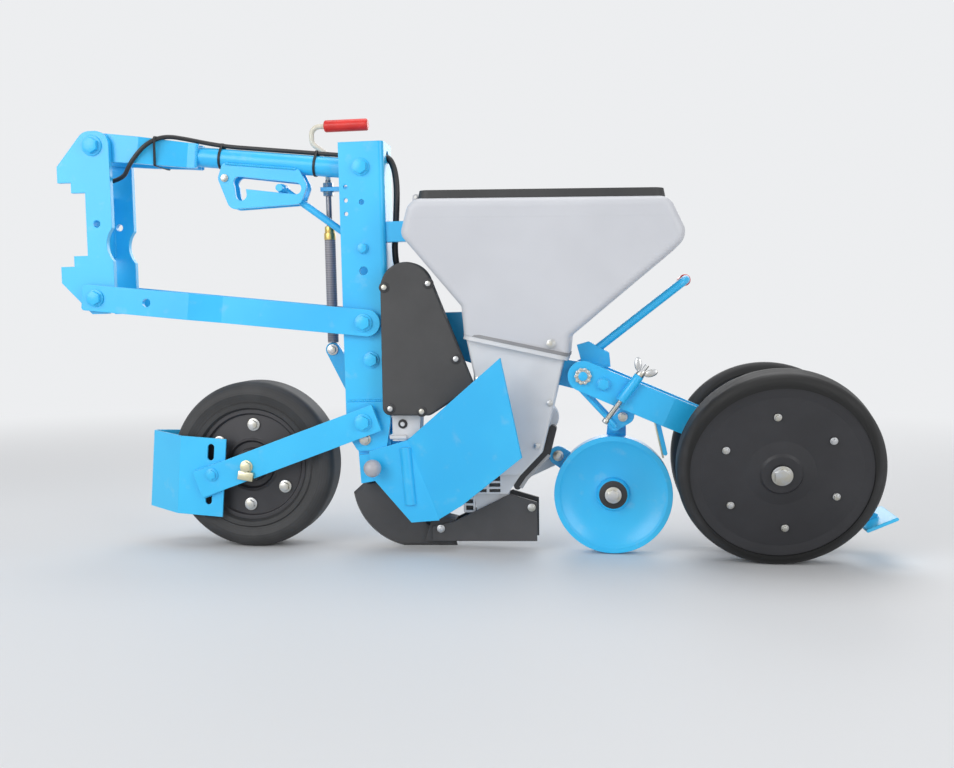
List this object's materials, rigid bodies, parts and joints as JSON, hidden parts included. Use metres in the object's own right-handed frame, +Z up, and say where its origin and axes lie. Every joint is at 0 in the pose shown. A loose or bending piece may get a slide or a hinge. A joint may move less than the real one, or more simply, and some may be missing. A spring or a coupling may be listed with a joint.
{
  "type": "precision planter row unit",
  "caption": "Planter row unit with toolbar bracket, lifting parallelogram, gauge wheel, furrow opener, seed hopper and meter, press wheel and angled closing wheels.",
  "frame": {"origin": "on the floor, at the centre of the unit's outline", "axes": "+X rearward to the closing wheels, +Y to the suction side, +Z up"},
  "size_m": [1.5672, 0.328, 0.8239],
  "materials": {
    "blue_paint": "gloss azure paint",
    "zinc_steel": "zinc plated",
    "ivory_rod": "ivory paint",
    "red_grip": "glossy red",
    "black_plastic": "fine grain",
    "black_rubber": "smooth rubber",
    "grey_wheel": "moulded, satin",
    "dark_iron": "cast, painted dark",
    "pale_knob": "satin",
    "white_polymer": "moulded white",
    "pale_casting": "painted casting",
    "black_lead": "sheathed"
  },
  "bodies": {
    "row_frame": {"column": "blue_paint", "column_pivot_bolts": "blue_paint", "depth_spindle": "zinc_steel", "spindle_sleeve": "black_plastic", "depth_crank": "ivory_rod", "crank_grip": "red_grip", "gauge_arm_near": "blue_paint", "gauge_arm_far": "blue_paint", "depth_lever": "blue_paint", "gauge_arm_pin": "blue_paint", "gauge_axle": "zinc_steel", "clod_deflector": "blue_paint", "shoe": "dark_iron", "shoe_stem": "blue_paint", "side_panel_near": "blue_paint", "side_panel_far": "blue_paint", "latch_knob": "pale_knob", "rear_beam": "blue_paint", "hopper": "white_polymer", "hinge_pin": "zinc_steel", "hopper_support": "blue_paint", "meter_housing": "pale_casting", "suction_cover": "pale_casting", "seed_chute": "pale_casting", "seed_duct": "black_plastic", "chain_guard": "black_plastic", "drive_casting": "pale_casting", "closing_arms": "blue_paint", "closing_stubs": "zinc_steel", "closing_pivot_bolt": "zinc_steel", "closing_scraper": "blue_paint", "press_leg": "blue_paint", "press_axle": "zinc_steel", "press_rods": "blue_paint", "press_scraper": "zinc_steel", "lever_quadrant": "blue_paint", "pressure_lever": "blue_paint", "lever_grip": "red_grip", "pressure_adjuster": "zinc_steel", "lead_on_row": "black_lead", "lead_plug": "black_plastic"},
    "toolbar_bracket": {"bracket_cheek_near": "blue_paint", "bracket_cheek_far": "blue_paint", "seat_plate": "blue_paint", "front_pivot_bolts": "blue_paint"},
    "upper_link": {"upper_link": "blue_paint", "lead_on_link": "black_lead"},
    "lower_link": {"lower_link_near": "blue_paint", "lower_link_far": "blue_paint"},
    "lock_rod": {"lock_rod": "blue_paint"},
    "hopper_lid": {"hopper_lid": "black_plastic"},
    "gauge_wheel": {"gauge_tyre": "black_rubber", "gauge_rim": "grey_wheel"},
    "press_wheel": {"press_wheel": "blue_paint"},
    "closing_wheel_near": {"closing_tyre_near": "black_rubber", "closing_disc_near": "grey_wheel"},
    "closing_wheel_far": {"closing_tyre_far": "black_rubber", "closing_disc_far": "grey_wheel"}
  },
  "joints": [
    {"name": "row_lift", "type": "hinge", "parent": "row_frame", "child": "upper_link", "pos_m": [-0.19227, 0, 0.72252], "axis": [0, 1, 0], "range_deg": [-14, 12]},
    {"name": "lower_link_turn", "type": "hinge", "parent": "row_frame", "child": "lower_link", "pos_m": [-0.18517, 0, 0.4326], "axis": [0, 1, 0], "range_deg": [-14, 12]},
    {"name": "bracket_level", "type": "hinge", "parent": "upper_link", "child": "toolbar_bracket", "pos_m": [-0.71156, 0, 0.76881], "axis": [0, 1, 0], "range_deg": [-12, 14]},
    {"name": "lock_rod_turn", "type": "hinge", "parent": "row_frame", "child": "lock_rod", "pos_m": [-0.18857, 0, 0.57156], "axis": [0, 1, 0], "range_deg": [-12.32, 10.56]},
    {"name": "lid_hinge", "type": "hinge", "parent": "row_frame", "child": "hopper_lid", "pos_m": [-0.08556, 0, 0.66342], "axis": [0, -1, 0], "range_deg": [0, 100]},
    {"name": "gauge_wheel_roll", "type": "hinge", "parent": "row_frame", "child": "gauge_wheel", "pos_m": [-0.41056, 0, 0.16], "axis": [0, 1, 0], "continuous": true},
    {"name": "press_wheel_roll", "type": "hinge", "parent": "row_frame", "child": "press_wheel", "pos_m": [0.27983, 0, 0.1119], "axis": [0, 1, 0], "continuous": true},
    {"name": "closing_wheel_near_roll", "type": "hinge", "parent": "row_frame", "child": "closing_wheel_near", "pos_m": [0.5703, -0.092, 0.17803], "axis": [-0.0063, 0.9659, 0.2587], "continuous": true},
    {"name": "closing_wheel_far_roll", "type": "hinge", "parent": "row_frame", "child": "closing_wheel_far", "pos_m": [0.5703, 0.092, 0.17803], "axis": [0.0063, 0.9659, -0.2587], "continuous": true}
  ],
  "couplings": [
    {"joint": "lower_link_turn", "follows": "row_lift", "ratio": 1},
    {"joint": "bracket_level", "follows": "row_lift", "ratio": -1},
    {"joint": "lock_rod_turn", "follows": "row_lift", "ratio": 0.88}
  ]
}
